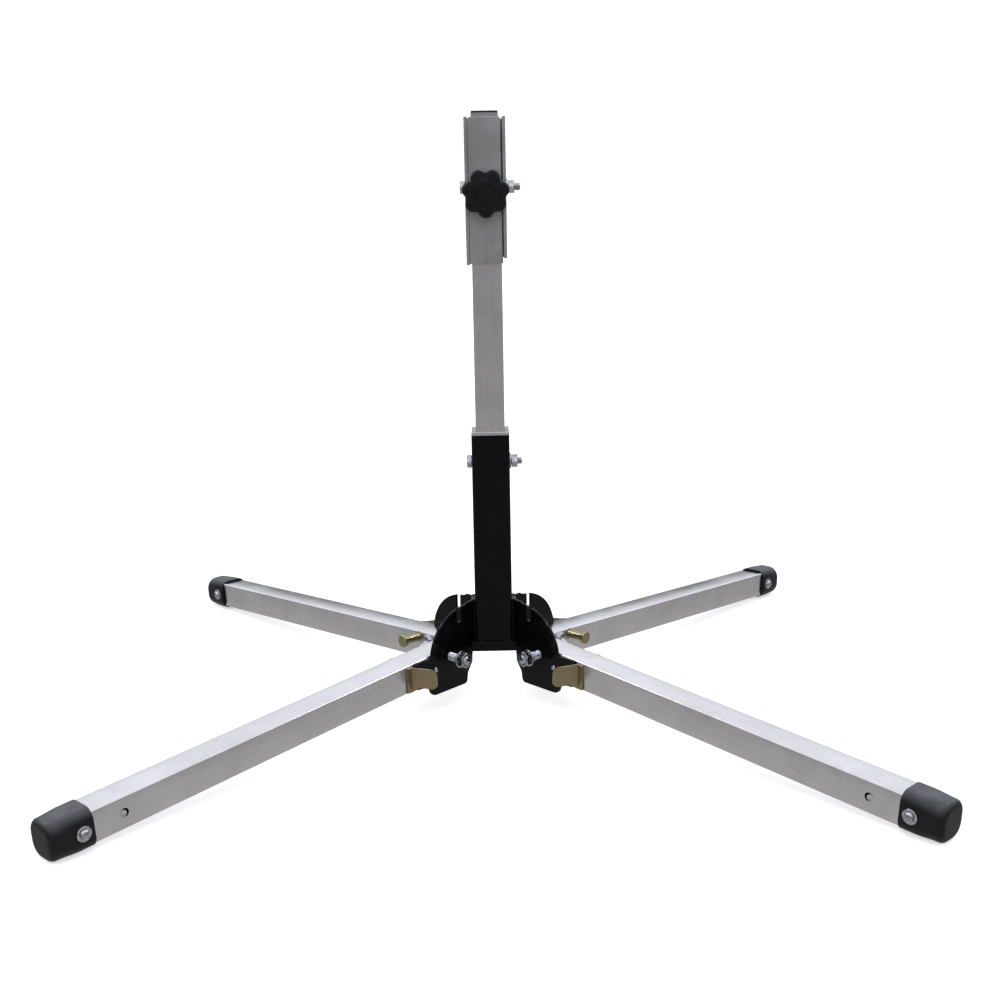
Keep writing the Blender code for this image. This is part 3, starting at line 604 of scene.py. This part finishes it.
def stem_plug():
    """Push-in end plug with a softly crowned top."""
    low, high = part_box("stem_plug")
    half = (high.x - low.x) / 2
    lip, corner_radius = 0.0018, 0.0020
    edge, inner = high.z - lip, half - lip
    rings = [rounded_square(inner, 0.0010, low.z), rounded_square(inner, 0.0010, edge)]
    rings += [rounded_square(half, corner_radius, edge), rounded_square(half, corner_radius, edge + 0.0007)]
    rings += [rounded_square(half - 0.0002, corner_radius, edge + 0.0010)]
    rings += [rounded_square(half - 0.0006, 0.0018, high.z - 0.0001)]
    rings += [rounded_square(half - 0.0040, 0.0010, high.z)]
    loft("stem_plug_finished", rings, UPRIGHT, "plug_plastic", "stem", ["stem_plug"])


def knob():
    """Seven-lobed knob: soft lobes, a crowned face with a centre cap, and a hub behind."""
    low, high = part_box("knob")
    height = JOINTS["knob_turn"]["pos_m"][2]
    place = Matrix.Translation((0.0, 0.0, height)) @ ALONG_FRONT
    front, back = -low.y, -high.y
    rear_face, shoulder = back + 0.0065, front - 0.0062
    lobes, tip, scallop, sharpness = 7, 0.0250, 0.0038, 1.6
    hub, soft, bulge = 0.0125, 0.0034, 0.0050
    steps = 126

    def lobed(inset, z, share=1.0, scale=1.0):
        """A lobed ring, drawn in by an inset, with scallops of a share of their depth."""
        ring = []
        for index in range(steps):
            angle = 2 * pi * index / steps
            depth = (1 - cos(lobes * (angle + pi / 2))) / 2
            reach = (tip - scallop * depth ** sharpness * share - inset) * scale
            ring.append(Vector((reach * cos(angle), reach * sin(angle), z)))
        return ring

    rings = [circle(0.0043, back, steps), circle(0.0118, back, steps), circle(hub, back + 0.0007, steps)]
    rings += [circle(hub, rear_face - 0.0008, steps), circle(0.0134, rear_face, steps)]
    rings += [lobed(0.0020, rear_face), lobed(0.0006, rear_face + 0.0005), lobed(0.0, rear_face + 0.0020)]
    rings += [lobed(0.0, shoulder)]
    for step in range(1, 6):
        angle = pi / 2 * step / 5
        rings.append(lobed(soft * (1 - cos(angle)), shoulder + bulge * sin(angle)))
    rings += [lobed(soft, front - 0.0009, 0.8, 0.86), lobed(soft, front - 0.0004, 0.5, 0.68)]
    rings += [circle(0.0110, front - 0.0001, steps), circle(0.0102, front, steps)]
    rings += [circle(0.0099, front - 0.0006, steps), circle(0.0095, front - 0.0006, steps)]
    rings += [circle(0.0092, front - 0.0001, steps), circle(0.0050, front, steps)]
    loft("knob_finished", rings, place, "knob_plastic", "knob", ["knob"], False, 40.0)
    stud_low, stud_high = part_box("clamp_stud")
    thread("clamp_stud_finished", M8, -stud_high.y, -stud_low.y, place, "knob")
    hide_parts("clamp_stud")


# Legs

def pivot(leg):
    """Pivot bolt, washer, nut and the cheek's stop rivet."""
    name = leg.name
    place = leg.across(*leg.pivot_along)
    wall = TUBE_HALF + GAP
    hex_head(name + "_pivot_head", M10, -wall - M10["head"], -wall, place, "base", name + "_pivot_bolt")
    plain = [(M10["bolt"], -wall), (M10["bolt"], CHEEK_OUTER)]
    turned(name + "_pivot_shank", plain, place, "bright_zinc", "base")
    washer_top = PIVOT_SEAT + M10["thick"]
    nut_top = washer_top + GAP + M10["nut"]
    thread(name + "_pivot_thread", M10, CHEEK_OUTER - 0.0005, nut_top + 0.0012, place, "base")
    washer = name + "_pivot_washer"
    bore = M10["bolt"] + GAP
    flat_washer(washer + "_finished", M10["washer"], bore, PIVOT_SEAT, washer_top, place, "base", washer)
    hex_nut(name + "_pivot_nut_finished", M10, washer_top + GAP, nut_top, place, "base", name + "_pivot_nut")
    rivet = Matrix.Translation(centre_of(name + "_stop_rivet"))
    along = (leg.frame.inverted() @ rivet.translation).x
    spot = leg.across(along, rivet.translation.z)
    face, head, rise, shank = CHEEK_OUTER + GAP, 0.0030, 0.0015, 0.0022
    dome = [(head * sin(radians(a)), face + rise * cos(radians(a))) for a in (12, 30, 48, 66, 80, 90)]
    profile = dome + [(head, CHEEK_OUTER + 0.0001), (shank, CHEEK_OUTER), (shank, wall)]
    turned(name + "_stop_rivet_finished", profile, spot, "bright_zinc", "base", [name + "_stop_rivet"], 24)


def foot_cap(leg):
    """Rubber cap: a rounded square sleeve with a rolled rim and a domed end."""
    def ring(half, radius, along):
        """A rounded square ring round the leg's line."""
        square = rounded_square(half, radius, 0.0, 8)
        return [ALONG_X @ point + Vector((along, 0.0, 0.0)) for point in square]

    hollow, hollow_corner = TUBE_HALF + GAP, 0.0023
    sleeve_corner, end_corner, bend, steps = 0.0112, 0.0149, 0.0060, 8
    sleeve_end, edge = CAP_START + 0.014, CAP_END - bend
    rings = [ring(hollow, hollow_corner, LEG_END + GAP), ring(hollow, hollow_corner, CAP_START + 0.0003)]
    rings += [ring(hollow + 0.0001, 0.0024, CAP_START), ring(CAP_HALF - 0.0004, 0.0106, CAP_START)]
    rings += [ring(CAP_HALF - 0.0001, 0.0110, CAP_START + 0.0004)]
    rings += [ring(CAP_HALF, sleeve_corner, CAP_START + 0.0010)]
    for step in range(steps + 1):
        share = step / steps
        smooth = share * share * (3 - 2 * share)
        along = sleeve_end + share * (edge - sleeve_end)
        rings.append(ring(CAP_HALF - 0.0001 * smooth, sleeve_corner + 0.0036 * smooth, along))
    for step in range(1, steps + 1):
        angle = pi / 2 * step / steps
        inset = 0.0001 + bend * (1 - cos(angle))
        rings.append(ring(CAP_HALF - inset, end_corner - inset, edge + bend * sin(angle)))
    rings.append(ring(CAP_HALF - bend - 0.0040, 0.0060, CAP_END + 0.00005))
    name = leg.name + "_foot_cap"
    loft(name + "_finished", rings, leg.tube, "rubber", leg.name + "_leg", [name], False, 40.0)


def side_hole(leg):
    """The spring button that sits low in the drilled hole near the foot."""
    spin = Matrix.Rotation(-leg.hand * pi / 2, 4, "X")
    outward, down = 0.0007, 0.0008
    place = leg.tube @ Matrix.Translation((SIDE_HOLE_ALONG + outward, 0.0, -down)) @ spin
    top, radius = TUBE_HALF - 0.0006, 0.0034
    profile = [(radius, top - 0.0060), (radius, top - 0.0004), (0.0031, top), (0.0027, top)]
    profile += [(0.0020, top - 0.0003), (0.0008, top - 0.0005)]
    turned(leg.name + "_hole_button", profile, place, "zinc_tube", leg.name + "_leg")


def foot_screw(leg):
    """Button-head socket screw on a flat washer."""
    centre = centre_of(leg.name + "_foot_washer")
    local = leg.tube.inverted() @ centre
    hand = 1 if local.y > 0 else -1
    spin = Matrix.Rotation(-hand * pi / 2, 4, "X")
    place = leg.tube @ Matrix.Translation((local.x, 0.0, 0.0)) @ spin
    seat, thick, shank, head = CAP_HALF + GAP, 0.0012, 0.0025, 0.0047
    body = leg.name + "_leg"
    washer = leg.name + "_foot_washer"
    flat_washer(washer + "_finished", 0.0072, 0.0028, seat, seat + thick, place, body, washer)
    base = seat + thick + GAP
    profile = [(shank, 0.0085), (shank, base), (head, base), (head, base + 0.0003)]
    for angle in (8, 24, 42, 60, 78):
        bend = radians(angle)
        profile.append((0.0022 + 0.0025 * cos(bend), base + 0.0004 + 0.0024 * sin(bend)))
    steps = 36
    rings = [circle(radius, height, steps) for radius, height in profile]
    for apothem, height in ((0.00165, 0.0028), (0.00150, 0.0026), (0.00150, 0.0012)):
        ring = []
        for index in range(steps):
            angle = 2 * pi * index / steps
            reach = hexagon(apothem, angle)
            ring.append(Vector((reach * cos(angle), reach * sin(angle), base + height)))
        rings.append(ring)
    loft(leg.name + "_foot_screw_finished", rings, place, "bright_zinc", body, [leg.name + "_foot_screw"])


def latch_pin(leg):
    """Headed pin with a flange against the leg."""
    name = leg.name + "_latch_pin"
    local = leg.frame.inverted() @ centre_of(name)
    place = leg.across(local.x, local.z, -leg.hand)
    flange, nose = TUBE_HALF + GAP, -TUBE_HALF + 0.0002
    head = flange + 0.0225
    inner_radius, flange_radius, shank_radius, head_radius = 0.0030, 0.0056, 0.0048, 0.0069
    profile = [(0.0020, nose), (inner_radius, nose + 0.0010)]
    profile += [(inner_radius, flange), (flange_radius, flange)]
    profile += corner((flange_radius, flange + 0.0008), 0.0006, -60, 90, 4)
    profile += [(shank_radius, flange + 0.0017), (shank_radius, head - 0.0004)]
    profile += [(0.0052, head), (head_radius, head)]
    profile += corner((head_radius, head + 0.0006), 0.0003, -80, 0, 2)
    profile += corner((0.0062, head + 0.0030), 0.0010, 0, 90, 4)
    profile += [(0.0030, head + 0.0040)]
    turned(name + "_finished", profile, place, "yellow_zinc", leg.name + "_pin", [name], 40)


def cheek_bead(leg):
    """Weld run along the top of a front cheek, from the post to the cheek's slot."""
    radius = 0.0012
    side = leg.hand * (TUBE_HALF + GAP + radius)
    edge_points = ((0.0215, 0.0620), (0.0330, 0.0590), (0.0420, 0.0588))
    run = [leg.frame @ Vector((along, side, LEG_AXIS_HEIGHT + rise)) for along, rise in edge_points]
    weld(leg.name + "_cheek_weld", run, radius, True)


def leg_pieces(leg):
    """All pieces of one leg."""
    body = leg.name + "_leg"
    refined(leg.name + "_leg_tube", leg.tube, "zinc_tube", body, 0.0004)
    refined(leg.name + "_latch_plate", leg.frame, "yellow_zinc", leg.name + "_latch", 0.0004)
    pivot(leg)
    if leg.name.startswith("front"):
        cheek_bead(leg)
    foot_cap(leg)
    side_hole(leg)
    foot_screw(leg)
    latch_pin(leg)


# Studio

def studio_world():
    """World with a bright sky, a dim horizon and a grey ground, slightly dimmer towards the front."""
    world = bpy.data.worlds.new("studio")
    bpy.context.scene.world = world
    world.use_nodes = True
    nodes, links = world.node_tree.nodes, world.node_tree.links
    background = nodes["Background"]
    place = nodes.new("ShaderNodeTexCoord")
    split = nodes.new("ShaderNodeSeparateXYZ")
    ramp = nodes.new("ShaderNodeValToRGB")
    spread = nodes.new("ShaderNodeMapRange")
    links.new(place.outputs["Generated"], split.inputs["Vector"])
    links.new(split.outputs["Z"], spread.inputs["Value"])
    spread.inputs["From Min"].default_value = -1.0
    spread.inputs["From Max"].default_value = 1.0
    links.new(spread.outputs["Result"], ramp.inputs["Fac"])
    # Grey level from straight down (0) over the horizon (0.5) to straight up (1)
    levels = [(0.0, 0.48), (0.29, 0.47), (0.345, 0.41), (0.45, 0.37), (0.51, 0.29), (0.56, 0.12)]
    levels += [(0.588, 0.20), (0.618, 0.90), (0.64, 1.05), (0.70, 1.08), (0.78, 1.08), (1.0, 1.05)]
    ground_tint, sky_tint, sky_start = (1.015, 1.0, 0.998), (0.985, 1.0, 1.085), 0.55
    elements = ramp.color_ramp.elements
    for index, (where, level) in enumerate(levels):
        element = elements[index] if index < 2 else elements.new(where)
        element.position = where
        tint = ground_tint if where < sky_start else sky_tint
        element.color = (*[level * share for share in tint], 1.0)
    shade_side = nodes.new("ShaderNodeMapRange")
    for socket, number in (("From Min", -1.0), ("From Max", -0.6), ("To Min", 0.95), ("To Max", 1.0)):
        shade_side.inputs[socket].default_value = number
    links.new(split.outputs["Y"], shade_side.inputs["Value"])
    links.new(ramp.outputs["Color"], background.inputs["Color"])
    links.new(shade_side.outputs["Result"], background.inputs["Strength"])


def stage_material(name, colour, emission):
    """A matt material that gives off white light."""
    material = bpy.data.materials.new(name)
    material.use_nodes = True
    inputs = material.node_tree.nodes["Principled BSDF"].inputs
    inputs["Base Color"].default_value = (*colour, 1.0)
    inputs["Emission Color"].default_value = (1.0, 1.0, 1.0, 1.0)
    inputs["Emission Strength"].default_value = emission
    return material


def area_light(name, width, depth, energy, location, target):
    """An area light that faces a point."""
    lamp = bpy.data.lights.new(name, "AREA")
    lamp.shape = "RECTANGLE"
    lamp.size, lamp.size_y = width, depth
    lamp.energy = energy
    item = linked(name, lamp)
    item.location = location
    item.rotation_euler = (Vector(target) - Vector(location)).to_track_quat("-Z", "Y").to_euler()
    return item


def studio():
    """A pale floor, a white backdrop, one broad soft light and two small ones for glints."""
    studio_world()
    reach = 30
    corners = [(-reach, -reach, 0), (reach, -reach, 0), (reach, reach, 0), (-reach, reach, 0)]
    floor_mesh = bpy.data.meshes.new("studio_floor")
    floor_mesh.from_pydata(corners, [], [(0, 1, 2, 3)])
    ground = linked("studio_floor", floor_mesh)
    pale = stage_material("studio_floor", (0.84, 0.84, 0.84), 0.56)
    matt = pale.node_tree.nodes["Principled BSDF"]
    matt.inputs["Roughness"].default_value = 0.9
    matt.inputs["Specular IOR Level"].default_value = 0.0
    floor_mesh.materials.append(pale)
    ground.visible_glossy = False

    shape = bmesh.new()
    bmesh.ops.create_icosphere(shape, subdivisions=3, radius=25.0)
    dome_mesh = bpy.data.meshes.new("studio_backdrop")
    shape.to_mesh(dome_mesh)
    shape.free()
    dome = linked("studio_backdrop", dome_mesh)
    dome_mesh.materials.append(stage_material("studio_backdrop", (0.0, 0.0, 0.0), 1.1))
    for flag in ("visible_diffuse", "visible_glossy", "visible_transmission", "visible_shadow"):
        setattr(dome, flag, False)

    box = area_light("softbox", 3.4, 3.0, 16.0, (-0.5, -0.4, 2.9), (0.0, 0.0, 0.2))
    box.visible_glossy = False
    for side in (-1, 1):
        glint = area_light("edge_light", 0.30, 0.30, 5.0, (side * 1.3, 0.3, 1.6), (0.0, 0.0, 0.0))
        glint.visible_diffuse = False
    bpy.context.scene.view_settings.view_transform = "Standard"


def camera():
    """A view from the front, a little above the object."""
    lens = bpy.data.cameras.new("camera")
    lens.lens = 46.5
    lens.sensor_width = 36.0
    viewer = linked("camera", lens)
    swing, tilt, lean = radians(-0.384), radians(90 - 12.685), radians(-1.02)
    turn = Matrix.Rotation(swing, 4, "Z") @ Matrix.Rotation(tilt, 4, "X")
    roll = Matrix.Rotation(lean, 4, "Z")
    viewer.matrix_world = Matrix.Translation((0.0, -1.4026, 0.5427)) @ turn @ roll
    bpy.context.scene.camera = viewer


camera()
studio()
centre_column()
post_liner()
stem_plug()
knob()
brackets()
strap_welds()
for leg_name in LEGS:
    leg_pieces(Leg(leg_name))
